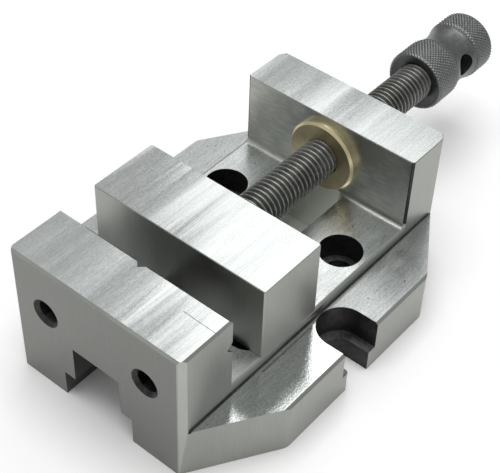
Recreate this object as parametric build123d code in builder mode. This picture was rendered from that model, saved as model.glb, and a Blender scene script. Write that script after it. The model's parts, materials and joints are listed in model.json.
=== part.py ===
"""Ground-steel screw vise with 60 mm jaws, in millimetres.

+X runs along the screw from the fixed jaw to the knob, +Y is across the jaws and +Z is up.
The origin is on the underside, at the centre of the four bed bolt holes.
"""

import os

from build123d import *

os.makedirs("parts", exist_ok=True)

# base block
base_front = -56.5
base_length = 113.0
end_half_width = 28.6
lug_half_width = 44.5
lug_taper = 25.3
lug_corner_radius = 4.0
lug_top = 16.7
lug_edge_chamfer = 0.8
foot_relief_width = 0.5
foot_relief_depth = 0.4
bed_top = 20.0
jaw_top = 45.0
jaw_width = 60.0
edge_break = 0.2
small_chamfer = 0.3
overcut = 1.0
base_rear = base_front + base_length

# fixed jaw and rear block, which are one piece with the base
fixed_jaw_thickness = 19.0
rear_block_thickness = 16.5
jaw_edge_chamfer = 0.7
rear_block_edge_chamfer = 0.6
rear_block_foot_radius = 1.5
fixed_face = base_front + fixed_jaw_thickness
rear_face = base_rear - rear_block_thickness
upright_groove_width = 4.4
level_groove_width = 4.0
level_groove_height = 35.3

# threaded stop holes in the outer face of the fixed jaw
stop_hole_spacing = 35.2
stop_hole_height = 28.5
stop_hole_radius = 3.4
stop_hole_sink_radius = 4.5
stop_hole_depth = 13.0

# counterbored bolt holes in the bed, and bolt slots in the lugs
bolt_spacing_x = 40.8
bolt_spacing_y = 43.0
bolt_radius = 4.5
bed_counterbore_radius = 6.6
bed_counterbore_depth = 8.5
lug_slot_centre_y = 38.0
lug_slot_radius = 7.5
lug_slot_ledge = 7.0
lug_slot_lip_radius = 1.2

# guide slot: a narrow way for the jaw's tongue over a wide way for the keeper
guide_half_width = 8.4
guide_ceiling = 21.3
guide_ledge = 9.0
keeper_way_half_width = 12.4
guide_rear = 39.7
guide_corner_radius = 2.0

# moving jaw
slide_gap = 0.05
jaw_front = -25.2
jaw_thickness = 23.0
jaw_corner_chamfer = 0.4
jaw_rear = jaw_front + jaw_thickness
jaw_middle = jaw_front + jaw_thickness / 2
tongue_length = 21.0
tongue_half_width = guide_half_width - slide_gap

# keeper plate under the tongue, with four cap screws and spring washers
keeper_length = 20.0
keeper_half_width = 12.2
keeper_thickness = 7.5
keeper_top = guide_ledge - slide_gap
keeper_bottom = keeper_top - keeper_thickness
keeper_screw_spacing_x = 12.0
keeper_screw_spacing_y = 10.0
keeper_screw_radius = 2.0
keeper_screw_clearance_radius = 2.25
keeper_screw_tip = 17.0
keeper_hole_spare = 1.0
keeper_head_radius = 3.5
keeper_head_height = 4.0
keeper_pocket_radius = 3.8
keeper_pocket_depth = 5.0
keeper_socket_across_flats = 3.0
keeper_socket_depth = 2.0
washer_thickness = 0.9
washer_hole_radius = 2.1
washer_split = 0.6

# lead screw, M12 x 1.75
screw_height = 31.7
thread_radius = 5.95
thread_start = -1.4
thread_end = 86.8
thread_start_chamfer = 0.95
journal_radius = 4.0
journal_tip = -14.7
journal_tip_chamfer = 0.5
journal_clearance = 0.06
pin_groove_radius = 2.7
pin_groove_middle = -10.2
pin_groove_width = 3.2
knob_stud_radius = 5.0
knob_stud_end = 95.8

# thrust ball and the two pins that hold the screw's tip in the jaw
ball_radius = 2.5
ball_clearance = 0.03
pin_radius = 1.5
pin_bottom = 20.6
pin_length = 20.0
pin_clearance = 0.05
pin_offset_y = pin_groove_radius + pin_radius + pin_clearance

# flanged nut in the rear block, kept from turning by a set screw and a soft pad
nut_flange_radius = 11.5
nut_flange_thickness = 2.5
nut_flange_chamfer = 0.7
nut_flange_clearance = 0.1
nut_barrel_radius = 8.0
nut_thread_clearance = 0.08
nut_bore_radius = thread_radius + nut_thread_clearance
nut_set_screw_x = rear_face + rear_block_thickness / 2
nut_set_screw_radius = 3.0
nut_set_screw_length = 7.0
nut_set_screw_across_flats = 3.0
nut_set_screw_socket_depth = 3.5
pad_thickness = 1.0
pad_radius = 2.9
nut_underside = screw_height - nut_barrel_radius

# knob: two knurled bands with a hollow waist and a cross hole for a bar
knob_front = 85.9
knob_radius = 10.0
knob_waist_start = 95.8
knob_waist_end = 108.4
knob_waist_radius = 8.6
knob_rear = 116.6
knob_front_chamfer = 0.7
knob_rear_chamfer = 1.0
knob_mouth_radius = 8.7
knob_mouth_depth = 1.0
knob_mouth_floor_radius = 6.3
cross_hole_radius = 3.5
cross_hole_tilt = 12.0
knob_set_screw_x = 90.8
knob_set_screw_radius = 2.5
knob_set_screw_recess = 0.4
knob_set_screw_across_flats = 2.5
knob_set_screw_socket_depth = 2.5
knob_waist_middle = (knob_waist_start + knob_waist_end) / 2

screw_axis = Axis((0, 0, screw_height), (1, 0, 0))
screw_section = Plane(origin=(0, 0, screw_height), x_dir=(1, 0, 0), z_dir=(0, -1, 0))


def turning_profile(points):
    """Make a closed outline of (x, radius) points in the plane through the screw's axis."""
    with BuildSketch(screw_section) as profile:
        with BuildLine():
            Polyline(*points, close=True)
        make_face()
    return profile.sketch


def lug_slot_profile(side, radius):
    """Draw one side's U-shaped slot, open at the lug's outer edge."""
    mouth_length = lug_half_width - lug_slot_centre_y + overcut
    with Locations((0, side * lug_slot_centre_y)):
        Circle(radius)
    with Locations((0, side * (lug_slot_centre_y + mouth_length / 2))):
        Rectangle(2 * radius, mouth_length)


# Base, fixed jaw and rear block in one piece
with BuildPart() as body:
    with BuildSketch():
        with BuildLine():
            Polyline(
                (base_front, -end_half_width),
                (base_front + lug_taper, -lug_half_width),
                (base_rear - lug_taper, -lug_half_width),
                (base_rear, -end_half_width),
                (base_rear, end_half_width),
                (base_rear - lug_taper, lug_half_width),
                (base_front + lug_taper, lug_half_width),
                (base_front, end_half_width),
                close=True,
            )
        make_face()
    extrude(amount=jaw_top)
    lug_corners = body.edges().filter_by(Axis.Z).group_by(lambda edge: round(abs(edge.center().Y), 3))[-1]
    fillet(lug_corners, lug_corner_radius)

    # clear the space over the lugs
    with BuildSketch(Plane.XY.offset(lug_top)):
        side_width = lug_half_width - jaw_width / 2 + overcut
        with GridLocations(0, jaw_width + side_width, 1, 2):
            Rectangle(base_length + 2 * overcut, side_width)
    extrude(amount=jaw_top - lug_top, mode=Mode.SUBTRACT)

    # clear the space between the fixed jaw and the rear block, down to the bed
    with BuildSketch(Plane.XY.offset(bed_top)):
        with Locations(((fixed_face + rear_face) / 2, 0)):
            Rectangle(rear_face - fixed_face, jaw_width + 2 * overcut)
    extrude(amount=jaw_top - bed_top, mode=Mode.SUBTRACT)
    level_edges = body.edges().filter_by(Axis.Y)
    rear_foot = level_edges.filter_by_position(Axis.Z, bed_top, bed_top).sort_by(Axis.X)[-1]
    fillet(rear_foot, rear_block_foot_radius)

    # chamfer the lugs' long top edges, but not their tapered ones
    for side in (-1, 1):
        with BuildSketch(Plane.YZ.offset(base_front)):
            with BuildLine():
                Polyline(
                    (side * (lug_half_width - lug_edge_chamfer), lug_top),
                    (side * lug_half_width, lug_top),
                    (side * lug_half_width, lug_top - lug_edge_chamfer),
                    close=True,
                )
            make_face()
        extrude(amount=base_length, mode=Mode.SUBTRACT)

    # cut a fine relief groove where each side rises from its lug
    with BuildSketch(Plane.YZ.offset(base_front)):
        with Locations((0, lug_top - foot_relief_depth / 2)):
            with GridLocations(jaw_width + foot_relief_width, 0, 2, 1):
                Rectangle(foot_relief_width, foot_relief_depth)
    extrude(amount=base_length, mode=Mode.SUBTRACT)

    # break the blocks' edges
    block_edges = body.edges().filter_by(Axis.Z).filter_by_position(Axis.X, rear_face, rear_face)
    chamfer(block_edges, rear_block_edge_chamfer)
    top_edges = body.edges().filter_by_position(Axis.Z, jaw_top, jaw_top)
    fixed_jaw_edges = top_edges.filter_by_position(Axis.X, base_front, fixed_face)
    rear_block_edges = top_edges.filter_by_position(Axis.X, rear_face, base_rear)
    chamfer(fixed_jaw_edges.filter_by(Axis.X) + fixed_jaw_edges.filter_by(Axis.Y), jaw_edge_chamfer)
    chamfer(rear_block_edges, edge_break)
    bed_edges = body.edges().filter_by(Axis.X).filter_by_position(Axis.Z, bed_top, bed_top)
    chamfer(bed_edges, edge_break)
    end_faces = body.faces().filter_by(Axis.X)
    for end_face in (end_faces.sort_by(Axis.X)[0], end_faces.sort_by(Axis.X)[-1]):
        chamfer(end_face.edges().filter_by(Axis.Z), edge_break)

    # grooves in the fixed jaw's face, upright and level, for round work
    upright_depth = upright_groove_width / 2
    with BuildSketch(Plane.XY.offset(bed_top)):
        with BuildLine():
            Polyline(
                (fixed_face, -upright_depth),
                (fixed_face - upright_depth, 0),
                (fixed_face, upright_depth),
                close=True,
            )
        make_face()
    extrude(amount=jaw_top - bed_top, mode=Mode.SUBTRACT)
    level_depth = level_groove_width / 2
    with BuildSketch(Plane.XZ):
        with BuildLine():
            Polyline(
                (fixed_face, level_groove_height - level_depth),
                (fixed_face - level_depth, level_groove_height),
                (fixed_face, level_groove_height + level_depth),
                close=True,
            )
        make_face()
    extrude(amount=jaw_width / 2 + overcut, both=True, mode=Mode.SUBTRACT)

    # guide slot, open at the front end and underneath
    with BuildSketch(Plane.XY.offset(guide_ledge)) as guide:
        with Locations(((base_front + guide_rear) / 2, 0)):
            Rectangle(guide_rear - base_front, 2 * guide_half_width)
        fillet(guide.vertices().group_by(Axis.X)[-1], guide_corner_radius)
    extrude(amount=guide_ceiling - guide_ledge, mode=Mode.SUBTRACT)
    with BuildSketch() as keeper_way:
        with Locations(((base_front + guide_rear) / 2, 0)):
            Rectangle(guide_rear - base_front, 2 * keeper_way_half_width)
        fillet(keeper_way.vertices().group_by(Axis.X)[-1], guide_corner_radius)
    extrude(amount=guide_ledge, mode=Mode.SUBTRACT)

    # bolt holes in the bed and bolt slots in the lugs
    with Locations((0, 0, bed_top)):
        with GridLocations(bolt_spacing_x, bolt_spacing_y, 2, 2):
            CounterBoreHole(
                radius=bolt_radius,
                counter_bore_radius=bed_counterbore_radius,
                counter_bore_depth=bed_counterbore_depth,
            )
    for side in (-1, 1):
        with BuildSketch():
            lug_slot_profile(side, bolt_radius)
        extrude(amount=lug_top, mode=Mode.SUBTRACT)
        with BuildSketch(Plane.XY.offset(lug_slot_ledge)):
            lug_slot_profile(side, lug_slot_radius)
        extrude(amount=lug_top - lug_slot_ledge, mode=Mode.SUBTRACT)
    slot_lips = body.edges().filter_by(Axis.Z).group_by(lambda edge: round(abs(edge.center().Y), 3))[-1]
    slot_lips = slot_lips.filter_by_position(Axis.Z, 0, lug_slot_ledge)
    slot_lips = slot_lips.filter_by_position(Axis.X, -bolt_radius, bolt_radius)
    fillet(slot_lips, lug_slot_lip_radius)

    # stop holes, nut bore and the set screw's hole from below
    with Locations(Plane(origin=(base_front, 0, stop_hole_height), x_dir=(0, 1, 0), z_dir=(-1, 0, 0))):
        with GridLocations(stop_hole_spacing, 0, 2, 1):
            CounterSinkHole(
                radius=stop_hole_radius,
                counter_sink_radius=stop_hole_sink_radius,
                depth=stop_hole_depth,
                counter_sink_angle=90,
            )
    with BuildSketch(Plane.YZ.offset(rear_face)):
        with Locations((0, screw_height)):
            Circle(nut_barrel_radius)
    extrude(amount=rear_block_thickness, mode=Mode.SUBTRACT)
    with BuildSketch(Plane.YZ.offset(rear_face)):
        with Locations((0, screw_height)):
            Circle(nut_flange_radius + nut_flange_clearance)
    extrude(amount=-nut_flange_thickness, mode=Mode.SUBTRACT)
    with BuildSketch():
        with Locations((nut_set_screw_x, 0)):
            Circle(nut_set_screw_radius)
    extrude(amount=screw_height - nut_bore_radius, mode=Mode.SUBTRACT)
body.part.label = "body"
export_step(body.part, "parts/body.step")


# Moving jaw with its guide tongue
with BuildPart() as moving_jaw:
    with BuildSketch(Plane.XY.offset(bed_top + slide_gap)):
        with Locations((jaw_middle, 0)):
            Rectangle(jaw_thickness, jaw_width)
    extrude(amount=jaw_top - bed_top - slide_gap)
    chamfer(moving_jaw.edges().filter_by(Axis.Z), jaw_corner_chamfer)
    chamfer(moving_jaw.edges().filter_by_position(Axis.Z, jaw_top, jaw_top), edge_break)
    with BuildSketch(Plane.XY.offset(keeper_top)):
        with Locations((jaw_middle, 0)):
            Rectangle(tongue_length, 2 * tongue_half_width)
    extrude(amount=bed_top + slide_gap - keeper_top)

    # tapped holes for the keeper screws
    with BuildSketch(Plane.XY.offset(keeper_top)):
        with Locations((jaw_middle, 0)):
            with GridLocations(keeper_screw_spacing_x, keeper_screw_spacing_y, 2, 2):
                Circle(keeper_screw_radius)
    extrude(amount=keeper_screw_tip + keeper_hole_spare - keeper_top, mode=Mode.SUBTRACT)

    # bore for the screw's tip, with a seat for the thrust ball
    with BuildSketch(Plane.YZ.offset(jaw_rear)):
        with Locations((0, screw_height)):
            Circle(journal_radius + journal_clearance)
    extrude(amount=journal_tip - ball_radius - jaw_rear, mode=Mode.SUBTRACT)
    with BuildSketch(Plane.YZ.offset(jaw_rear)):
        with Locations((0, screw_height)):
            Circle(ball_radius + ball_clearance)
    extrude(amount=journal_tip - ball_clearance - 2 * ball_radius - jaw_rear, mode=Mode.SUBTRACT)

    # holes for the two screw pins, drilled from the underside
    with BuildSketch(Plane.XY.offset(bed_top)):
        with Locations((pin_groove_middle, 0)):
            with GridLocations(0, 2 * pin_offset_y, 1, 2):
                Circle(pin_radius)
    extrude(amount=pin_bottom + pin_length - bed_top, mode=Mode.SUBTRACT)
moving_jaw.part.label = "moving_jaw"
export_step(moving_jaw.part, "parts/moving_jaw.step")


# Keeper plate, which runs under the ledges of the guide slot
with BuildPart() as keeper_plate:
    with BuildSketch(Plane.XY.offset(keeper_bottom)):
        with Locations((jaw_middle, 0)):
            Rectangle(keeper_length, 2 * keeper_half_width)
    extrude(amount=keeper_thickness)
    with BuildSketch(Plane.XY.offset(keeper_bottom)):
        with Locations((jaw_middle, 0)):
            with GridLocations(keeper_screw_spacing_x, keeper_screw_spacing_y, 2, 2):
                Circle(keeper_screw_clearance_radius)
    extrude(amount=keeper_thickness, mode=Mode.SUBTRACT)
    with BuildSketch(Plane.XY.offset(keeper_bottom)):
        with Locations((jaw_middle, 0)):
            with GridLocations(keeper_screw_spacing_x, keeper_screw_spacing_y, 2, 2):
                Circle(keeper_pocket_radius)
    extrude(amount=keeper_pocket_depth, mode=Mode.SUBTRACT)
keeper_plate.part.label = "keeper_plate"
export_step(keeper_plate.part, "parts/keeper_plate.step")


# Keeper screws and their spring washers, heads down in the plate's pockets
washer_top = keeper_bottom + keeper_pocket_depth
washer_bottom = washer_top - washer_thickness
head_bottom = washer_bottom - keeper_head_height
keeper_places = GridLocations(keeper_screw_spacing_x, keeper_screw_spacing_y, 2, 2).locations

for number, place in enumerate(keeper_places, start=1):
    centre = (jaw_middle + place.position.X, place.position.Y)
    with BuildPart() as keeper_screw:
        with BuildSketch(Plane.XY.offset(head_bottom)):
            with Locations(centre):
                Circle(keeper_head_radius)
        extrude(amount=keeper_head_height)
        chamfer(keeper_screw.edges().sort_by(Axis.Z)[0], small_chamfer)
        with BuildSketch(Plane.XY.offset(head_bottom)):
            with Locations(centre):
                RegularPolygon(keeper_socket_across_flats / 2, 6, major_radius=False)
        extrude(amount=keeper_socket_depth, mode=Mode.SUBTRACT)
        with BuildSketch(Plane.XY.offset(washer_bottom)):
            with Locations(centre):
                Circle(keeper_screw_radius)
        extrude(amount=keeper_screw_tip - washer_bottom)
    keeper_screw.part.label = f"keeper_screw_{number}"
    export_step(keeper_screw.part, f"parts/keeper_screw_{number}.step")

    with BuildPart() as keeper_washer:
        with BuildSketch(Plane.XY.offset(washer_bottom)):
            with Locations(centre):
                Circle(keeper_head_radius)
                Circle(washer_hole_radius, mode=Mode.SUBTRACT)
            with Locations((centre[0] + keeper_head_radius / 2, centre[1])):
                Rectangle(keeper_head_radius + overcut, washer_split, mode=Mode.SUBTRACT)
        extrude(amount=washer_thickness)
    keeper_washer.part.label = f"keeper_washer_{number}"
    export_step(keeper_washer.part, f"parts/keeper_washer_{number}.step")


# Lead screw: grooved tip for the jaw, thread, and a stud for the knob
groove_front = pin_groove_middle - pin_groove_width / 2
groove_rear = pin_groove_middle + pin_groove_width / 2
lead_screw_outline = [
    (journal_tip, 0),
    (journal_tip, journal_radius - journal_tip_chamfer),
    (journal_tip + journal_tip_chamfer, journal_radius),
    (groove_front, journal_radius),
    (groove_front, pin_groove_radius),
    (groove_rear, pin_groove_radius),
    (groove_rear, journal_radius),
    (thread_start, journal_radius),
    (thread_start, thread_radius - thread_start_chamfer),
    (thread_start + thread_start_chamfer, thread_radius),
    (thread_end, thread_radius),
    (thread_end, knob_stud_radius),
    (knob_stud_end, knob_stud_radius),
    (knob_stud_end, 0),
]
with BuildPart() as lead_screw:
    revolve(turning_profile(lead_screw_outline), axis=screw_axis)
lead_screw.part.label = "lead_screw"
export_step(lead_screw.part, "parts/lead_screw.step")


# Thrust ball between the screw's tip and the jaw
with BuildPart() as thrust_ball:
    with Locations((journal_tip - ball_clearance - ball_radius, 0, screw_height)):
        Sphere(ball_radius)
thrust_ball.part.label = "thrust_ball"
export_step(thrust_ball.part, "parts/thrust_ball.step")


# Pins that run in the screw tip's groove, so that the screw pulls the jaw back
for name, side in (("screw_pin_right", -1), ("screw_pin_left", 1)):
    with BuildPart() as screw_pin:
        with BuildSketch(Plane.XY.offset(pin_bottom)):
            with Locations((pin_groove_middle, side * pin_offset_y)):
                Circle(pin_radius)
        extrude(amount=pin_length)
        chamfer(screw_pin.edges().filter_by(GeomType.CIRCLE), small_chamfer)
    screw_pin.part.label = name
    export_step(screw_pin.part, f"parts/{name}.step")


# Flanged nut in the rear block
flange_front = rear_face - nut_flange_thickness
screw_nut_outline = [
    (flange_front, nut_bore_radius),
    (flange_front, nut_flange_radius - nut_flange_chamfer),
    (flange_front + nut_flange_chamfer, nut_flange_radius),
    (rear_face, nut_flange_radius),
    (rear_face, nut_barrel_radius),
    (base_rear, nut_barrel_radius),
    (base_rear, nut_bore_radius),
]
with BuildPart() as screw_nut:
    revolve(turning_profile(screw_nut_outline), axis=screw_axis)
screw_nut.part.label = "screw_nut"
export_step(screw_nut.part, "parts/screw_nut.step")


# Set screw and soft pad under the nut
set_screw_top = nut_underside - pad_thickness
with BuildPart() as nut_set_screw:
    with BuildSketch(Plane.XY.offset(set_screw_top - nut_set_screw_length)):
        with Locations((nut_set_screw_x, 0)):
            Circle(nut_set_screw_radius)
    extrude(amount=nut_set_screw_length)
    with BuildSketch(Plane.XY.offset(set_screw_top - nut_set_screw_length)):
        with Locations((nut_set_screw_x, 0)):
            RegularPolygon(nut_set_screw_across_flats / 2, 6, major_radius=False)
    extrude(amount=nut_set_screw_socket_depth, mode=Mode.SUBTRACT)
nut_set_screw.part.label = "nut_set_screw"
export_step(nut_set_screw.part, "parts/nut_set_screw.step")

with BuildPart() as nut_pad:
    with BuildSketch(Plane.XY.offset(set_screw_top)):
        with Locations((nut_set_screw_x, 0)):
            Circle(pad_radius)
    extrude(amount=pad_thickness)
nut_pad.part.label = "nut_pad"
export_step(nut_pad.part, "parts/nut_pad.step")


# Knob on the screw's stud
with BuildPart() as knob:
    with BuildSketch(screw_section):
        with BuildLine():
            Polyline(
                (knob_waist_start, knob_radius),
                (knob_front + knob_front_chamfer, knob_radius),
                (knob_front, knob_radius - knob_front_chamfer),
                (knob_front, knob_mouth_radius),
                (knob_front + knob_mouth_depth, knob_mouth_floor_radius),
                (knob_front + knob_mouth_depth, knob_stud_radius),
                (knob_stud_end, knob_stud_radius),
                (knob_stud_end, 0),
                (knob_rear, 0),
                (knob_rear, knob_radius - knob_rear_chamfer),
                (knob_rear - knob_rear_chamfer, knob_radius),
                (knob_waist_end, knob_radius),
            )
            ThreePointArc(
                (knob_waist_end, knob_radius),
                (knob_waist_middle, knob_waist_radius),
                (knob_waist_start, knob_radius),
            )
        make_face()
    revolve(axis=screw_axis)
    cross_plane = Plane(
        origin=(knob_waist_middle, 0, screw_height),
        x_dir=(1, 0, 0),
        z_dir=Vector(0, -1, 0).rotate(Axis.X, -cross_hole_tilt),
    )
    with BuildSketch(cross_plane):
        Circle(cross_hole_radius)
    extrude(amount=knob_radius, both=True, mode=Mode.SUBTRACT)
    with BuildSketch(Plane.XY.offset(screw_height - knob_radius)):
        with Locations((knob_set_screw_x, 0)):
            Circle(knob_set_screw_radius)
    extrude(amount=knob_radius - knob_stud_radius / 2, mode=Mode.SUBTRACT)
knob.part.label = "knob"
export_step(knob.part, "parts/knob.step")


# Set screw that locks the knob on the stud
knob_set_screw_bottom = screw_height - knob_radius + knob_set_screw_recess
with BuildPart() as knob_set_screw:
    with BuildSketch(Plane.XY.offset(knob_set_screw_bottom)):
        with Locations((knob_set_screw_x, 0)):
            Circle(knob_set_screw_radius)
    extrude(amount=screw_height - knob_stud_radius - knob_set_screw_bottom)
    with BuildSketch(Plane.XY.offset(knob_set_screw_bottom)):
        with Locations((knob_set_screw_x, 0)):
            RegularPolygon(knob_set_screw_across_flats / 2, 6, major_radius=False)
    extrude(amount=knob_set_screw_socket_depth, mode=Mode.SUBTRACT)
knob_set_screw.part.label = "knob_set_screw"
export_step(knob_set_screw.part, "parts/knob_set_screw.step")
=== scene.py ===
"""Looks for a ground-steel screw vise: finishes, real thread and knurling, floor, lights and camera.

Lengths in the mesh code are millimetres until mesh_object() turns them into metres.
"""

import json
import math

import bpy
import numpy as np
from mathutils import Matrix, Vector

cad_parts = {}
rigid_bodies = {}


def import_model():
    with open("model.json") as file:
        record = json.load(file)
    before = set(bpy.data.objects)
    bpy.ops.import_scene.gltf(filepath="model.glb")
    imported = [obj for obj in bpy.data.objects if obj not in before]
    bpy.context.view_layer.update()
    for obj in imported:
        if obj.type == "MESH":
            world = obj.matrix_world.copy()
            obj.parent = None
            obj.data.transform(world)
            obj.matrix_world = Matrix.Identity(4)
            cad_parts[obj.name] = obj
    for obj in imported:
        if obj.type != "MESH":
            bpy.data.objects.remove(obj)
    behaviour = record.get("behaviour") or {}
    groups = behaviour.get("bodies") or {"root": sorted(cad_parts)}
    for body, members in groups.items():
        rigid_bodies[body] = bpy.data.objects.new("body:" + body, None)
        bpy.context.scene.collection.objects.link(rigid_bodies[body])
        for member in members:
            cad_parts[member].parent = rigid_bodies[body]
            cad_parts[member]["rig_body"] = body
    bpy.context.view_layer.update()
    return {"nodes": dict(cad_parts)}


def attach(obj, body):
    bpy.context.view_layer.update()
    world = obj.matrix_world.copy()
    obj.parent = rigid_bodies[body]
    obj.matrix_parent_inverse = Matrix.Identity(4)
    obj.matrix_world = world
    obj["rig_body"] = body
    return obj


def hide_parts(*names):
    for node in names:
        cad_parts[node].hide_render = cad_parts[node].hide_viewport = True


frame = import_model()
nodes = frame["nodes"]

MM = 0.001
TURN = 2 * math.pi


# ---------------------------------------------------------------- materials

class Finish:
    """One node material. Its patterns are placed in object space, so they move with the piece."""

    def __init__(self, name):
        self.material = bpy.data.materials.new(name)
        self.material.use_nodes = True
        self.tree = self.material.node_tree
        self.shader = self.tree.nodes["Principled BSDF"]
        self.place = self.node("ShaderNodeTexCoord").outputs["Object"]

    def node(self, kind, **settings):
        made = self.tree.nodes.new(kind)
        for key, value in settings.items():
            setattr(made, key, value)
        return made

    def put(self, value, socket):
        """Link an output to a socket, or set a plain value on it."""
        if isinstance(value, bpy.types.NodeSocket):
            self.tree.links.new(value, socket)
        else:
            socket.default_value = value

    def math(self, operation, first, second=0.0):
        made = self.node("ShaderNodeMath", operation=operation)
        self.put(first, made.inputs[0])
        self.put(second, made.inputs[1])
        return made.outputs[0]

    def stretched(self, scale):
        """Object coordinates times a scale for each axis, so that a pattern runs longer one way."""
        made = self.node("ShaderNodeVectorMath", operation="MULTIPLY")
        self.put(self.place, made.inputs[0])
        made.inputs[1].default_value = scale
        return made.outputs[0]

    def noise(self, scale, detail=2.0, roughness=0.5, distortion=0.0):
        made = self.node("ShaderNodeTexNoise")
        self.put(self.stretched(scale), made.inputs["Vector"])
        made.inputs["Scale"].default_value = 1.0
        made.inputs["Detail"].default_value = detail
        made.inputs["Roughness"].default_value = roughness
        made.inputs["Distortion"].default_value = distortion
        return made.outputs["Fac"]

    def ramp(self, value, low, high, to_low=0.0, to_high=1.0):
        """Map low..high smoothly to to_low..to_high."""
        made = self.node("ShaderNodeMapRange", interpolation_type="SMOOTHSTEP")
        self.put(value, made.inputs["Value"])
        made.inputs["From Min"].default_value = low
        made.inputs["From Max"].default_value = high
        made.inputs["To Min"].default_value = to_low
        made.inputs["To Max"].default_value = to_high
        return made.outputs["Result"]

    def mix(self, factor, first, second):
        """Blend two colours."""
        made = self.node("ShaderNodeMix", data_type="RGBA")
        self.put(factor, made.inputs["Factor"])
        self.put(first, made.inputs[6])
        self.put(second, made.inputs[7])
        return made.outputs[2]

    def scratch(self, start, end, half_width):
        """Mask, 1 on a fine straight mark between two (x, y) points in millimetres and 0 elsewhere."""
        parts = self.node("ShaderNodeSeparateXYZ")
        self.put(self.place, parts.inputs[0])
        x = self.math("SUBTRACT", parts.outputs["X"], start[0] * MM)
        y = self.math("SUBTRACT", parts.outputs["Y"], start[1] * MM)
        length = math.dist(start, end)
        way_x, way_y = (end[0] - start[0]) / length, (end[1] - start[1]) / length
        along = self.math("ADD", self.math("MULTIPLY", x, way_x), self.math("MULTIPLY", y, way_y))
        across = self.math("SUBTRACT", self.math("MULTIPLY", x, way_y), self.math("MULTIPLY", y, way_x))
        near = self.ramp(self.math("ABSOLUTE", across), half_width * MM, 0.0)
        from_middle = self.math("ABSOLUTE", self.math("SUBTRACT", along, length * MM / 2))
        within = self.math("LESS_THAN", from_middle, length * MM / 2)
        return self.math("MULTIPLY", near, within)

    def bump(self, height, strength, depth, under=None):
        """Add relief. The depth is in metres."""
        made = self.node("ShaderNodeBump")
        self.put(height, made.inputs["Height"])
        made.inputs["Strength"].default_value = strength
        made.inputs["Distance"].default_value = depth
        if under is not None:
            self.put(under, made.inputs["Normal"])
        return made.outputs["Normal"]

    def finish(self, colour, roughness, normal, metallic=1.0):
        self.put(colour, self.shader.inputs["Base Color"])
        self.put(roughness, self.shader.inputs["Roughness"])
        self.put(normal, self.shader.inputs["Normal"])
        self.shader.inputs["Metallic"].default_value = metallic
        return self.material


def grey(level):
    return (level, level, level, 1.0)


def tinted(level, tint):
    return (level * tint[0], level * tint[1], level * tint[2], 1.0)


# Faint tints of the steel, as shares of its grey level.
COOL = (0.955, 1.0, 0.985)
OLIVE = (0.975, 1.0, 0.93)
# One thin scratch on the fixed jaw's top, as (x, y) points in millimetres.
SCRATCH_START = (-43.15, -18.8)
SCRATCH_END = (-43.35, -30.3)
SCRATCH_HALF_WIDTH = 0.16
SCRATCH_COLOUR = grey(0.03)


def ground_top(name, bright, dull, scratched=False):
    """Surface-ground steel: fine lines along X and specks, on a face with slight bands and swells."""
    f = Finish(name)
    lines = f.noise((110, 3200, 110), 3.0, 0.65)
    swells = f.noise((6, 75, 6), 1.0)
    bands = f.noise((9, 150, 9), 2.0, 0.5, 0.4)
    specks = f.noise((1300, 2400, 1300), 2.0, 0.7)
    shade = f.math("ADD", f.math("MULTIPLY", bands, 0.25), f.math("MULTIPLY", lines, 0.40))
    shade = f.math("ADD", shade, f.math("MULTIPLY", specks, 0.35))
    colour = f.mix(f.ramp(shade, 0.36, 0.62), tinted(dull, COOL), tinted(bright, COOL))
    if scratched:
        mark = f.scratch(SCRATCH_START, SCRATCH_END, SCRATCH_HALF_WIDTH)
        colour = f.mix(mark, colour, SCRATCH_COLOUR)
    rough = f.math("ADD", f.ramp(bands, 0.35, 0.65, 0.11, 0.18), f.math("MULTIPLY", specks, 0.10))
    normal = f.bump(swells, 0.5, 0.0011)
    normal = f.bump(bands, 0.5, 0.00025, normal)
    normal = f.bump(lines, 0.22, 0.00001, normal)
    normal = f.bump(specks, 0.20, 0.00001, normal)
    return f.finish(colour, rough, normal)


def ground_side(name, level, rough_low=0.30, rough_high=0.40, scale=(1800, 1800, 90), contrast=0.07):
    """Finely ground upright faces: nearly even, with faint lines one way and soft clouds."""
    f = Finish(name)
    cloud = f.noise((55, 55, 35), 3.0, 0.5)
    lines = f.noise(scale, 2.0, 0.5)
    shade = f.math("ADD", f.math("MULTIPLY", cloud, 0.7), f.math("MULTIPLY", lines, 0.3))
    darker = tinted(level * (1 - contrast), OLIVE)
    lighter = tinted(level * (1 + contrast), OLIVE)
    colour = f.mix(f.ramp(shade, 0.34, 0.66), darker, lighter)
    rough = f.ramp(cloud, 0.35, 0.65, rough_low, rough_high)
    normal = f.bump(lines, 0.04, 0.000004)
    return f.finish(colour, rough, normal)


def milled_top(name, low, high, rough_low, rough_high, grain_depth):
    """Milled level faces: mirror-like between a sparkling grain, with marks along X and a few pits."""
    f = Finish(name)
    grain = f.noise((1500, 1500, 1500), 3.0, 0.7)
    marks = f.noise((160, 1500, 160), 2.0, 0.6)
    cloud = f.noise((70, 110, 70), 3.0, 0.6)
    pits = f.ramp(f.noise((800, 800, 800), 1.0, 0.4), 0.195, 0.225)
    shade = f.math("ADD", f.math("MULTIPLY", grain, 0.60), f.math("MULTIPLY", marks, 0.30))
    shade = f.math("ADD", shade, f.math("MULTIPLY", cloud, 0.10))
    colour = f.mix(f.ramp(shade, 0.38, 0.62), tinted(low, COOL), tinted(high, COOL))
    colour = f.mix(pits, grey(0.08), colour)
    rough = f.math("ADD", f.ramp(cloud, 0.35, 0.65, rough_low, rough_high), f.math("MULTIPLY", grain, 0.05))
    normal = f.bump(marks, 0.15, 0.00002)
    normal = f.bump(grain, 0.30, grain_depth, normal)
    return f.finish(colour, rough, normal)


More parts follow.
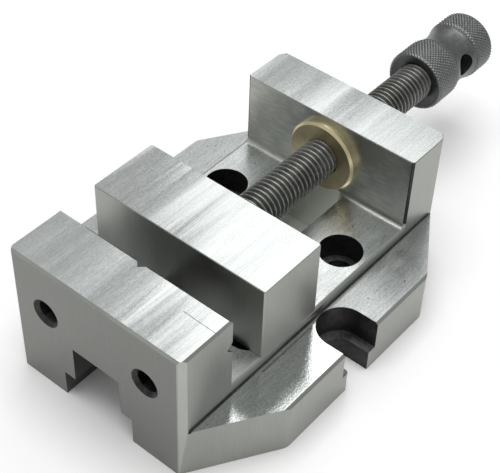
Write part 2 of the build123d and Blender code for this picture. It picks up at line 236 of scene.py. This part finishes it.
def black_oxide(name, low=0.030, high=0.055):
    """Blackened steel as the cutter left it: near black, satin, a little uneven."""
    f = Finish(name)
    grain = f.noise((900, 900, 900), 3.0, 0.6)
    cloud = f.noise((120, 120, 120), 2.0, 0.5)
    shade = f.math("ADD", f.math("MULTIPLY", grain, 0.5), f.math("MULTIPLY", cloud, 0.5))
    colour = f.mix(f.ramp(shade, 0.38, 0.62), grey(low), grey(high))
    rough = f.ramp(cloud, 0.35, 0.65, 0.34, 0.5)
    return f.finish(colour, rough, f.bump(grain, 0.25, 0.00004), 0.85)


def worn_black(name, tint, low, high, worn, crest_start, crest_end):
    """Blackened steel worn towards bare metal on its crests, which the mesh marks from 0 to 1."""
    f = Finish(name)
    crest = f.node("ShaderNodeAttribute", attribute_name="crest").outputs["Fac"]
    grain = f.noise((1100, 1100, 1100), 3.0, 0.6)
    patches = f.noise((90, 160, 160), 3.0, 0.6)
    shade = f.math("ADD", f.math("MULTIPLY", grain, 0.55), f.math("MULTIPLY", patches, 0.45))
    dark = f.mix(f.ramp(shade, 0.38, 0.62), tinted(low, tint), tinted(high, tint))
    wear = f.ramp(crest, crest_start, crest_end)
    wear = f.math("MULTIPLY", wear, f.ramp(shade, 0.30, 0.62, 0.35, 1.0))
    colour = f.mix(wear, dark, tinted(worn, tint))
    rough = f.ramp(shade, 0.35, 0.65, 0.30, 0.44)
    return f.finish(colour, rough, f.bump(grain, 0.25, 0.00003), 0.92)


def turned_brass(name):
    """Turned brass: fine rings about the screw's axis, with a faint olive tarnish."""
    f = Finish(name)
    parts = f.node("ShaderNodeSeparateXYZ")
    f.put(f.place, parts.inputs[0])
    up = f.math("SUBTRACT", parts.outputs["Z"], SCREW_HEIGHT * MM)
    radius = f.math("SQRT", f.math("ADD", f.math("POWER", up, 2.0), f.math("POWER", parts.outputs["Y"], 2.0)))
    ring_place = f.node("ShaderNodeCombineXYZ")
    f.put(f.math("MULTIPLY", radius, 5200.0), ring_place.inputs["X"])
    f.put(f.math("MULTIPLY", parts.outputs["X"], 5200.0), ring_place.inputs["Y"])
    rings = f.node("ShaderNodeTexNoise")
    f.put(ring_place.outputs[0], rings.inputs["Vector"])
    rings.inputs["Scale"].default_value = 1.0
    tarnish = f.noise((160, 160, 160), 3.0, 0.6)
    colour = f.mix(f.ramp(tarnish, 0.36, 0.66), (0.64, 0.56, 0.34, 1), (0.55, 0.48, 0.29, 1))
    colour = f.mix(f.ramp(rings.outputs["Fac"], 0.3, 0.7, 0.0, 0.35), colour, (0.72, 0.66, 0.46, 1))
    rough = f.ramp(tarnish, 0.35, 0.65, 0.28, 0.38)
    return f.finish(colour, rough, f.bump(rings.outputs["Fac"], 0.22, 0.00002))


def slot_walls_painted_shade(name, shaded_level, lit_level):
    """Milled walls of the guide slot, with painted shade where the fixed jaw covers it and painted light, a
    bright tone, where it is open above.
    """
    f = Finish(name)
    parts = f.node("ShaderNodeSeparateXYZ")
    f.put(f.place, parts.inputs[0])
    # The colour steps from painted shade under the fixed jaw to a painted lit tone where the slot is open
    # above.
    lit_share = f.ramp(parts.outputs["X"], -0.034, -0.022)
    colour = f.mix(lit_share, tinted(shaded_level, COOL), tinted(lit_level, OLIVE))
    cloud = f.noise((55, 55, 35), 3.0, 0.5)
    lines = f.noise((90, 1800, 1800), 2.0, 0.5)
    rough = f.ramp(cloud, 0.35, 0.65, 0.34, 0.42)
    return f.finish(colour, rough, f.bump(lines, 0.10, 0.00001))


def plain_steel(name, level):
    """Steel of the small hidden parts, lightly scratched."""
    f = Finish(name)
    scratch = f.noise((400, 2600, 400), 3.0, 0.6)
    cloud = f.noise((200, 200, 200), 2.0, 0.5)
    colour = f.mix(f.ramp(cloud, 0.35, 0.65), grey(level * 0.8), grey(level * 1.15))
    return f.finish(colour, f.ramp(cloud, 0.35, 0.65, 0.25, 0.4), f.bump(scratch, 0.15, 0.00002))


# ---------------------------------------------------------------- shapes

SCREW_HEIGHT = 31.7
PITCH = 1.75
CREST_RADIUS = 5.95
ROOT_RADIUS = 4.93
THREAD_START = -1.4
THREAD_END = 86.8
THREAD_START_CHAMFER = 0.95
THREAD_COLUMNS = 72
# Shares of a pitch where the thread's profile bends, so that rings stand there.
THREAD_STATIONS = (0.0, 0.05, 0.0625, 0.16, 0.27, 0.38, 0.42, 0.58, 0.62, 0.73, 0.84, 0.9375)
# Outlines are (x, radius) points. An end ring of a small radius closes with a flat face.
JOURNAL_OUTLINE = (
    (-14.7, 0.4),
    (-14.7, 3.5),
    (-14.2, 4.0),
    (-11.8, 4.0),
    (-11.8, 2.7),
    (-8.6, 2.7),
    (-8.6, 4.0),
    (THREAD_START, 4.0),
)
STUD_OUTLINE = ((THREAD_END, 5.0), (95.8, 5.0), (95.8, 0.4))
KNOB_MOUTH_OUTLINE = ((95.8, 0.4), (95.8, 5.05), (86.9, 5.05), (86.9, 6.3), (85.9, 8.7))
KNOB_FRONT = 85.9
KNOB_REAR = 116.6
KNOB_MIDDLE = 102.1
KNOB_RADIUS = 10.0
KNOB_FRONT_CHAMFER = 0.7
KNOB_REAR_CHAMFER = 1.0
KNOB_REAR_FACE_RADIUS = 0.4
WAIST_HALF_LENGTH = 6.3
WAIST_DEPTH = 1.4
KNURL_TEETH = 56
KNURL_DIAMOND_LENGTH = 1.5
KNURL_DEPTH = 0.34
KNURL_POINTS = 8
CROSS_HOLE_RADIUS = 3.5
CROSS_HOLE_TILT = 12
SET_SCREW_X = 90.8
SET_SCREW_RADIUS = 2.5
CUTTER_COLUMNS = 48


def mesh_object(name, points, faces, body, crest):
    """Make a piece from millimetre points, store its crest heights and let it ride on a body."""
    mesh = bpy.data.meshes.new(name)
    mesh.from_pydata([tuple(p) for p in np.asarray(points) * MM], [], faces)
    attribute = mesh.attributes.new("crest", "FLOAT", "POINT")
    attribute.data.foreach_set("value", np.asarray(crest, np.float32))
    mesh.shade_smooth()
    piece = bpy.data.objects.new(name, mesh)
    bpy.context.scene.collection.objects.link(piece)
    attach(piece, body)
    return piece


def select_only(piece):
    for other in bpy.context.selected_objects:
        other.select_set(False)
    piece.select_set(True)
    bpy.context.view_layer.objects.active = piece


def clean(piece, distance=0.000002):
    """Weld vertices that meet and drop the faces that closed up."""
    select_only(piece)
    bpy.ops.object.mode_set(mode="EDIT")
    bpy.ops.mesh.select_all(action="SELECT")
    bpy.ops.mesh.remove_doubles(threshold=distance)
    bpy.ops.mesh.dissolve_degenerate(threshold=distance)
    bpy.ops.mesh.normals_make_consistent(inside=False)
    bpy.ops.object.mode_set(mode="OBJECT")


def ring_faces(rows, columns):
    """Quads between neighbouring rings, and one flat face across each end."""
    faces = []
    for r in range(rows - 1):
        for c in range(columns):
            d = (c + 1) % columns
            faces.append((r * columns + c, r * columns + d, (r + 1) * columns + d, (r + 1) * columns + c))
    faces.append(tuple(reversed(range(columns))))
    faces.append(tuple(range((rows - 1) * columns, rows * columns)))
    return faces


def plain_rings(outline, columns):
    """Rings of even radius at the points of an outline, with nothing worn on them."""
    return [(np.full(columns, x), np.full(columns, radius), np.zeros(columns)) for x, radius in outline]


def turned_piece(name, rings, angle):
    """A piece of the screw body, from rings of x, radius and crest height about the screw's axis."""
    points = [np.stack([x, r * np.cos(angle), SCREW_HEIGHT + r * np.sin(angle)], 1) for x, r, _ in rings]
    crest = [height for _, _, height in rings]
    piece = mesh_object(
        name,
        np.concatenate(points),
        ring_faces(len(rings), len(angle)),
        "screw",
        np.concatenate(crest),
    )
    clean(piece)
    return piece


def thread_radius_at(phase):
    """Radius of a 60-degree thread at a phase of 0..1 along one pitch, with a rounded root."""
    crest_half = 0.125
    root_half = 0.22
    rounding = 0.035
    from_crest = np.abs(((phase + 0.5) % 1.0) - 0.5) * 2
    flank = np.clip((from_crest - crest_half) / (1 - crest_half - root_half), 0, 1)
    return CREST_RADIUS - (CREST_RADIUS - ROOT_RADIUS) * (flank + rounding * np.sin(TURN * flank))


def lead_screw():
    """The whole screw: grooved journal, helical thread on skewed rings, and the knob's stud."""
    angle = np.arange(THREAD_COLUMNS) * TURN / THREAD_COLUMNS
    rings = plain_rings(JOURNAL_OUTLINE, THREAD_COLUMNS)
    turns = int((THREAD_END - THREAD_START) / PITCH) + 2
    for turn in range(-1, turns):
        for station in THREAD_STATIONS:
            x = THREAD_START + PITCH * (turn + station + angle / TURN)
            x = np.clip(x, THREAD_START, THREAD_END)
            radius = thread_radius_at((x - THREAD_START) / PITCH - angle / TURN)
            radius = np.minimum(radius, CREST_RADIUS - THREAD_START_CHAMFER + (x - THREAD_START))
            radius = np.maximum(radius, ROOT_RADIUS)
            rings.append((x, radius, (radius - ROOT_RADIUS) / (CREST_RADIUS - ROOT_RADIUS)))
    rings += plain_rings(STUD_OUTLINE, THREAD_COLUMNS)
    piece = turned_piece("lead_screw_threaded", rings, angle)
    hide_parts("lead_screw")
    return piece


def knob_outline_radius(x):
    """Radius of the knob's crests: two bands joined by a hollow waist, with broken ends."""
    arc = (WAIST_HALF_LENGTH**2 + WAIST_DEPTH**2) / (2 * WAIST_DEPTH)
    from_middle = np.clip(abs(x - KNOB_MIDDLE), 0, WAIST_HALF_LENGTH)
    waist = KNOB_RADIUS - WAIST_DEPTH + arc - np.sqrt(arc * arc - from_middle * from_middle)
    front = KNOB_RADIUS - np.clip(KNOB_FRONT + KNOB_FRONT_CHAMFER - x, 0, KNOB_FRONT_CHAMFER)
    rear = KNOB_RADIUS - np.clip(x - (KNOB_REAR - KNOB_REAR_CHAMFER), 0, KNOB_REAR_CHAMFER)
    return float(min(waist, front, rear))


def knurl_share(x, outline):
    """How deep the knurl is cut at x, from 0 to 1. It runs out at both ends and in the waist."""
    front = np.clip((x - KNOB_FRONT - 0.1) / 0.2, 0, 1)
    rear = np.clip((KNOB_REAR - 0.35 - x) / 0.3, 0, 1)
    above_waist = np.clip((outline - 9.35) / 0.25, 0, 1)
    return front * rear * above_waist


def knob():
    """The knob, with diamond knurling cut into both bands, a dished mouth and a cross hole."""
    columns = KNURL_TEETH * KNURL_POINTS
    angle = np.arange(columns) * TURN / columns
    xs = np.arange(KNOB_FRONT, KNOB_REAR + 0.01, KNURL_DIAMOND_LENGTH / KNURL_POINTS)
    xs = np.unique(np.round(np.append(xs, (KNOB_REAR - KNOB_REAR_CHAMFER, KNOB_REAR)), 4))
    rings = plain_rings(KNOB_MOUTH_OUTLINE, columns)
    for x in xs:
        outline = knob_outline_radius(x)
        first = (KNURL_TEETH * angle / TURN + x / KNURL_DIAMOND_LENGTH) % 1.0
        second = (KNURL_TEETH * angle / TURN - x / KNURL_DIAMOND_LENGTH) % 1.0
        ridge = np.minimum(1 - np.abs(2 * first - 1), 1 - np.abs(2 * second - 1))
        share = knurl_share(x, outline)
        rings.append((np.full(columns, x), outline - KNURL_DEPTH * share * (1 - ridge), share * ridge))
    rings += plain_rings(((KNOB_REAR, KNOB_REAR_FACE_RADIUS),), columns)
    piece = turned_piece("knob_knurled", rings, angle)
    tilt = math.radians(CROSS_HOLE_TILT)
    across = Vector((0, -math.cos(tilt), math.sin(tilt)))
    bore(piece, Vector((KNOB_MIDDLE, 0, SCREW_HEIGHT)), across, CROSS_HOLE_RADIUS, 12.0)
    bore(piece, Vector((SET_SCREW_X, 0, SCREW_HEIGHT - 7.5)), Vector((0, 0, -1)), SET_SCREW_RADIUS, 2.6)
    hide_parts("knob")
    return piece


def bore(piece, centre, direction, radius, half_length):
    """Cut a round hole through a piece."""
    across = direction.orthogonal().normalized()
    other = direction.cross(across)
    points = []
    for along in (-half_length, half_length):
        for step in range(CUTTER_COLUMNS):
            angle = step * TURN / CUTTER_COLUMNS
            sideways = across * (radius * math.cos(angle))
            upwards = other * (radius * math.sin(angle))
            points.append(tuple((centre + direction * along + sideways + upwards) * MM))
    mesh = bpy.data.meshes.new("cutter")
    mesh.from_pydata(points, [], ring_faces(2, CUTTER_COLUMNS))
    cutter = bpy.data.objects.new("cutter", mesh)
    bpy.context.scene.collection.objects.link(cutter)
    modifier = piece.modifiers.new("bore", "BOOLEAN")
    modifier.operation = "DIFFERENCE"
    modifier.solver = "EXACT"
    modifier.object = cutter
    select_only(piece)
    bpy.ops.object.modifier_apply(modifier="bore")
    bpy.data.objects.remove(cutter)


# ---------------------------------------------------------------- zones on the ground parts

BASE_FRONT = -56.5
BASE_REAR = 56.5
REAR_FACE = 40.0
JAW_TOP = 45.0
JAW_HALF_WIDTH = 30.0
BED_TOP = 20.0
LUG_TOP = 16.7
LUG_HALF_WIDTH = 44.5
LUG_SLOT_Y = 38.0
LUG_SLOT_RADIUS = 7.5
BED_HOLE_X = 20.4
BED_HOLE_Y = 21.5
COUNTERBORE_RADIUS = 6.6
STOP_HOLE_Y = 17.6
STOP_HOLE_HEIGHT = 28.5
STOP_HOLE_MOUTH_RADIUS = 4.5
STOP_HOLE_BOTTOM = -43.0
NUT_BORE_RADIUS = 8.2
FOOT_RELIEF_WIDTH = 0.5
FOOT_RELIEF_DEPTH = 0.4
# Limits of the dark strip along the upright chamfers of the rear block's inner face.
CHAMFER_STRIP_X = (39.8, 41.2)
CHAMFER_STRIP_Y = (28.7, 30.02)
CHAMFER_STRIP_Z = (21.5, 44.9)
# Limits of the guide slot, a little outside its walls.
GUIDE_ZONE_HALF_WIDTH = 12.45
GUIDE_ZONE_TOP = 21.4
# Slack for comparing positions, and a wider one for level faces and the lug slots' rounded lips.
SLACK = 0.02
WIDE_SLACK = 0.05
# A face whose normal has at least this much of an axis counts as facing along that axis.
FACING = 0.95


def copy_of(node, name):
    """Copy a CAD node's mesh into a new piece, so that its faces can have different finishes."""
    piece = bpy.data.objects.new(name, nodes[node].data.copy())
    piece.data.materials.clear()
    bpy.context.scene.collection.objects.link(piece)
    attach(piece, nodes[node]["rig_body"])
    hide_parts(node)
    return piece


def in_bed_hole(x, y, z):
    from_axis = math.hypot(abs(x) - BED_HOLE_X, y - BED_HOLE_Y)
    return z < BED_TOP - SLACK and from_axis < COUNTERBORE_RADIUS + SLACK


def in_lug_slot(x, y, z):
    from_axis = math.hypot(x, min(y - LUG_SLOT_Y, 0.0))
    return z < LUG_TOP - SLACK and y < LUG_HALF_WIDTH - WIDE_SLACK and from_axis < LUG_SLOT_RADIUS + SLACK


def in_stop_hole(x, y, z):
    from_axis = math.hypot(y - STOP_HOLE_Y, z - STOP_HOLE_HEIGHT)
    return BASE_FRONT + SLACK < x < STOP_HOLE_BOTTOM and from_axis < STOP_HOLE_MOUTH_RADIUS + SLACK


def within(value, limits):
    return limits[0] < value < limits[1]


def on_rear_chamfer(x, y, z):
    return within(x, CHAMFER_STRIP_X) and within(y, CHAMFER_STRIP_Y) and within(z, CHAMFER_STRIP_Z)


def in_foot_relief_painted_shade(y, z):
    """Whether a point is in the groove along the jaws' foot, whose faces get the black finish as painted
    shade for the dark line there.
    """
    in_width = JAW_HALF_WIDTH - SLACK < y < JAW_HALF_WIDTH + FOOT_RELIEF_WIDTH + SLACK
    return in_width and LUG_TOP - FOOT_RELIEF_DEPTH - SLACK < z < LUG_TOP - SLACK


def in_nut_bore(x, y, z):
    return math.hypot(y, z - SCREW_HEIGHT) < NUT_BORE_RADIUS and REAR_FACE - 1 < x < BASE_REAR - SLACK


def is_blackened_or_painted_shade(x, y, z):
    """Whether a point of the base is in a hole or slot that was left blackened, or in the groove along the
    jaws' foot, which is painted black as shade.
    """
    y = abs(y)
    if z < SLACK:
        return False
    return (
        in_bed_hole(x, y, z)
        or in_lug_slot(x, y, z)
        or in_stop_hole(x, y, z)
        or on_rear_chamfer(x, y, z)
        # The foot groove's black is painted shade.
        or in_foot_relief_painted_shade(y, z)
        or in_nut_bore(x, y, z)
    )


def in_guide(x, y, z):
    """Whether a point is in the slot that the moving jaw's tongue and keeper run in."""
    between_ends = BASE_FRONT + SLACK < x < BASE_REAR - SLACK
    return between_ends and abs(y) < GUIDE_ZONE_HALF_WIDTH and SLACK < z < GUIDE_ZONE_TOP


def base_zone(centre, normal):
    """Name the base's finish at a face."""
    x, y, z = centre
    if is_blackened_or_painted_shade(x, y, z):
        # Upward faces in these hollows get a lighter copy of the black finish, painted light where light
        # falls in from above.
        return "ledge" if normal.z > 0.9 else "black"
    if in_guide(x, y, z) and normal.z < 0.9:
        return "slot"
    if normal.z > FACING and abs(z - LUG_TOP) < WIDE_SLACK:
        return "lug" if x < 0.0 else "rear_lug"
    if normal.z > FACING and abs(z - BED_TOP) < WIDE_SLACK:
        return "bed"
    if normal.z > FACING and abs(z - JAW_TOP) < WIDE_SLACK:
        return "top"
    if normal.x < -0.5 and abs(x - REAR_FACE) < 1.0 and z > BED_TOP:
        return "inner"
    # Front, oblique front and side faces get darker or lighter copies of one ground steel: painted shade on
    # the front, painted light on the sides and oblique faces.
    if -0.85 < normal.x < -0.4 and z > LUG_TOP and x < BASE_FRONT + 6.5:
        return "corner"
    return "front" if normal.x < -FACING else "side"


def jaw_zone(centre, normal):
    """Name the moving jaw's finish at a face."""
    if normal.z > FACING and abs(centre[2] - JAW_TOP) < WIDE_SLACK:
        return "top"
    if normal.x < -FACING:
        return "face"
    return "flank"


def paint(piece, finishes, zone):
    """Give each face of a piece the finish that zone() names."""
    names = list(finishes)
    for name in names:
        piece.data.materials.append(finishes[name])
    for face in piece.data.polygons:
        face.material_index = names.index(zone(tuple(face.center / MM), face.normal))


# ---------------------------------------------------------------- finishes on the parts

base_finishes = {
    "top": ground_top("ground_steel_jaw_top", 0.64, 0.50, scratched=True),
    # The same ground steel at three grey levels by facing: front faces darker as painted shade, sides and
    # oblique front faces lighter as painted light.
    "front": ground_side("ground_steel_front_painted_shade", 0.20),
    "side": ground_side("ground_steel_side_painted_light", 0.33),
    "corner": ground_side("ground_steel_corner_painted_light", 0.42),
    "inner": ground_side("ground_steel_inner", 0.45, 0.34, 0.44, (90, 300, 1500), 0.22),
    "bed": milled_top("milled_bed", 0.46, 0.63, 0.22, 0.34, 0.00004),
    "lug": milled_top("milled_lug", 0.50, 0.72, 0.045, 0.10, 0.0001),
    "rear_lug": milled_top("milled_rear_lug", 0.37, 0.54, 0.26, 0.36, 0.00008),
    # The slot walls carry painted shade under the fixed jaw and painted light behind it.
    "slot": slot_walls_painted_shade("milled_slot_painted_shade", 0.12, 0.85),
    # Black oxide in the bores and slots, and painted shade in the foot groove.
    "black": black_oxide("black_oxide_bores_and_painted_shade"),
    "ledge": black_oxide("black_oxide_ledges_painted_light", 0.07, 0.15),
}
jaw_finishes = {
    "top": ground_top("ground_steel_top", 0.57, 0.44),
    "face": ground_side("polished_jaw_face", 0.34, 0.30, 0.38),
    "flank": ground_side("ground_jaw_flank", 0.38, 0.38, 0.46),
}

base = copy_of("body", "base_block")
paint(base, base_finishes, base_zone)

jaw = copy_of("moving_jaw", "sliding_jaw")
paint(jaw, jaw_finishes, jaw_zone)

thread_finish = worn_black("black_oxide_thread", OLIVE, 0.12, 0.18, 0.30, 0.90, 1.0)
lead_screw().data.materials.append(thread_finish)

knurl_finish = worn_black("black_oxide_knurl", COOL, 0.12, 0.16, 0.85, 0.66, 0.95)
knob().data.materials.append(knurl_finish)


def dress(material, *names):
    """Give CAD nodes that keep their own mesh a finish."""
    for name in names:
        nodes[name].data.materials.clear()
        nodes[name].data.materials.append(material)


keeper_screws = [f"keeper_screw_{number}" for number in range(1, 5)]
keeper_washers = [f"keeper_washer_{number}" for number in range(1, 5)]
dress(turned_brass("turned_brass"), "screw_nut", "nut_pad")
dress(black_oxide("black_oxide_screws", 0.04, 0.07), "nut_set_screw", "knob_set_screw", *keeper_screws)
dress(plain_steel("machined_steel", 0.35), "keeper_plate", *keeper_washers)
dress(plain_steel("hardened_steel", 0.5), "thrust_ball", "screw_pin_left", "screw_pin_right")


# ---------------------------------------------------------------- floor, lights, camera

FLOOR_HALF_SIZE = 3.0
FLOOR_GAP = 0.00005
LIGHT_TARGET = Vector((0, 0, 0.03))
HORIZON_STRENGTH = 0.40
SKY_STRENGTH = 0.66
SKY_FROM_HEIGHT = 0.6


def floor():
    """A plain white floor just under the vise."""
    half = FLOOR_HALF_SIZE
    mesh = bpy.data.meshes.new("floor")
    corners = [(-half, -half, 0), (half, -half, 0), (half, half, 0), (-half, half, 0)]
    mesh.from_pydata(corners, [], [(0, 1, 2, 3)])
    piece = bpy.data.objects.new("floor", mesh)
    piece.location.z = -FLOOR_GAP
    bpy.context.scene.collection.objects.link(piece)
    material = bpy.data.materials.new("floor_white")
    material.use_nodes = True
    shader = material.node_tree.nodes["Principled BSDF"]
    shader.inputs["Base Color"].default_value = (0.92, 0.92, 0.92, 1)
    shader.inputs["Roughness"].default_value = 0.9
    shader.inputs["Specular IOR Level"].default_value = 0.1
    mesh.materials.append(material)


def area_light(name, azimuth, elevation, distance, size, power):
    """A soft panel that faces the vise from a direction given in degrees."""
    a, e = math.radians(azimuth), math.radians(elevation)
    direction = Vector((math.cos(a) * math.cos(e), math.sin(a) * math.cos(e), math.sin(e)))
    data = bpy.data.lights.new(name, "AREA")
    data.shape = "RECTANGLE"
    data.size, data.size_y = size
    data.energy = power
    lamp = bpy.data.objects.new(name, data)
    lamp.location = LIGHT_TARGET + direction * distance
    lamp.rotation_euler = direction.to_track_quat("Z", "Y").to_euler()
    bpy.context.scene.collection.objects.link(lamp)


floor()
area_light("key", 32, 49, 0.8, (0.23, 0.28), 0.33)
area_light("overhead", 90, 88, 1.1, (0.8, 0.8), 7.5)


def studio_world():
    """White surroundings that darken towards the horizon."""
    world = bpy.data.worlds.new("studio")
    bpy.context.scene.world = world
    world.use_nodes = True
    world_nodes = world.node_tree.nodes
    links = world.node_tree.links
    background = world_nodes["Background"]
    background.inputs["Color"].default_value = (1, 1, 1, 1)
    direction = world_nodes.new("ShaderNodeTexCoord")
    height = world_nodes.new("ShaderNodeSeparateXYZ")
    strength = world_nodes.new("ShaderNodeMapRange")
    strength.inputs["From Min"].default_value = 0.0
    strength.inputs["From Max"].default_value = SKY_FROM_HEIGHT
    strength.inputs["To Min"].default_value = HORIZON_STRENGTH
    strength.inputs["To Max"].default_value = SKY_STRENGTH
    links.new(direction.outputs["Generated"], height.inputs[0])
    links.new(height.outputs["Z"], strength.inputs["Value"])
    links.new(strength.outputs["Result"], background.inputs["Strength"])


studio_world()
bpy.context.scene.view_settings.view_transform = "Standard"


def camera():
    """A camera that looks down on the fixed jaw's right corner."""
    azimuth, elevation, roll = math.radians(-51.726), math.radians(44.489), math.radians(2.311)
    aim = Vector((5.574, -0.121, 22.609)) * MM
    distance = 0.36319
    back = Vector((
        math.sin(azimuth) * math.cos(elevation),
        -math.cos(azimuth) * math.cos(elevation),
        math.sin(elevation),
    ))
    right = Vector((math.cos(azimuth), math.sin(azimuth), 0))
    up = back.cross(right)
    rolled_right = right * math.cos(roll) + up * math.sin(roll)
    rolled_up = up * math.cos(roll) - right * math.sin(roll)
    data = bpy.data.cameras.new("camera")
    data.sensor_width = 36
    data.lens = 91.83
    data.clip_start = 0.01
    data.clip_end = 10
    made = bpy.data.objects.new("camera", data)
    bpy.context.scene.collection.objects.link(made)
    place = Matrix((rolled_right, rolled_up, back)).transposed().to_4x4()
    place.translation = aim + back * distance
    made.matrix_world = place
    bpy.context.scene.camera = made


camera()
